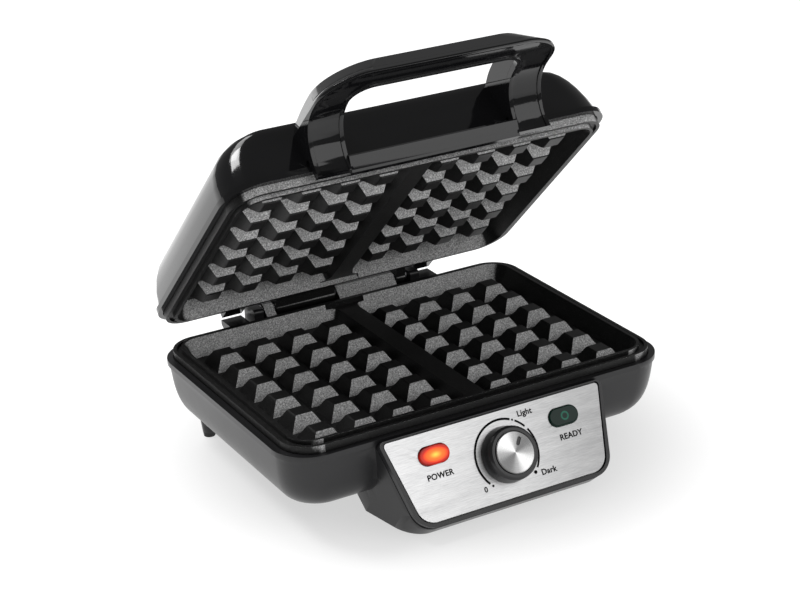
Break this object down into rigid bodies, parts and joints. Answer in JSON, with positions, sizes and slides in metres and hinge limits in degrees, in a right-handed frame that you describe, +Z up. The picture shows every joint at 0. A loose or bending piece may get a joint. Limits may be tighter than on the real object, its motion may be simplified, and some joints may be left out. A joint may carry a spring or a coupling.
{
  "type": "waffle maker",
  "caption": "Domestic two-slice waffle maker with a raised clamshell lid, bridge handle, studded cooking plates and a sloping steel control panel with lamps and a dial.",
  "frame": {"origin": "on the table, under the middle of the open appliance's bounding box", "axes": "+X to the user's right along the hinge, +Y from the control panel back to the hinge, +Z up"},
  "size_m": [0.26, 0.2381, 0.2636],
  "materials": {
    "housing_plastic": "satin",
    "gloss_plastic": "gloss",
    "nonstick_casting": "fine-grained satin non-stick coat",
    "brushed_steel": "brushed along its width",
    "red_lens": "gloss, lit",
    "green_lens": "gloss, unlit",
    "lamp_glass": "clear",
    "spun_aluminium": "spun",
    "white_nylon": "matt",
    "plated_steel": "zinc plated",
    "element_sheath": "heat-darkened",
    "pad_rubber": "matt",
    "wire_insulation": "satin",
    "terminal_brass": "turned"
  },
  "bodies": {
    "base": {"lower_housing": "housing_plastic", "control_bezel": "housing_plastic", "control_fascia": "brushed_steel", "power_lens": "red_lens", "ready_lens": "green_lens", "power_lamp": "lamp_glass", "ready_lamp": "lamp_glass", "lamp_holders": "white_nylon", "thermostat_body": "white_nylon", "thermostat_bracket": "plated_steel", "lower_plate": "nonstick_casting", "lower_heating_element": "element_sheath", "lower_element_straps": "plated_steel", "lower_strap_screws": "plated_steel", "lower_reflector": "plated_steel", "lower_thermal_cutout": "white_nylon", "lower_plate_screws": "plated_steel", "rear_feet": "housing_plastic", "foot_pads": "pad_rubber", "cord_gland": "housing_plastic", "terminal_block": "white_nylon", "terminal_screws": "terminal_brass", "internal_wiring": "wire_insulation", "hinge_pin": "plated_steel", "hinge_clips": "plated_steel"},
    "lid": {"upper_plate": "nonstick_casting", "lid_housing": "gloss_plastic", "handle_cover": "gloss_plastic", "handle_shell": "gloss_plastic", "handle_screws": "plated_steel", "upper_heating_element": "element_sheath", "upper_element_straps": "plated_steel", "upper_strap_screws": "plated_steel", "upper_reflector": "plated_steel", "upper_thermal_cutout": "white_nylon", "upper_plate_screws": "plated_steel", "lid_screw_plugs": "gloss_plastic"},
    "dial": {"knob_body": "gloss_plastic", "knob_cap": "spun_aluminium", "thermostat_shaft": "plated_steel"}
  },
  "joints": [
    {"name": "lid_hinge", "type": "hinge", "parent": "base", "child": "lid", "pos_m": [0, 0.1049, 0.064], "axis": [-1, 0, 0], "range_deg": [-43.5, 14]},
    {"name": "thermostat_knob", "type": "hinge", "parent": "base", "child": "dial", "pos_m": [0.0012, -0.1038, 0.03323], "axis": [0, 0.866, -0.5], "range_deg": [-170, 100]}
  ]
}
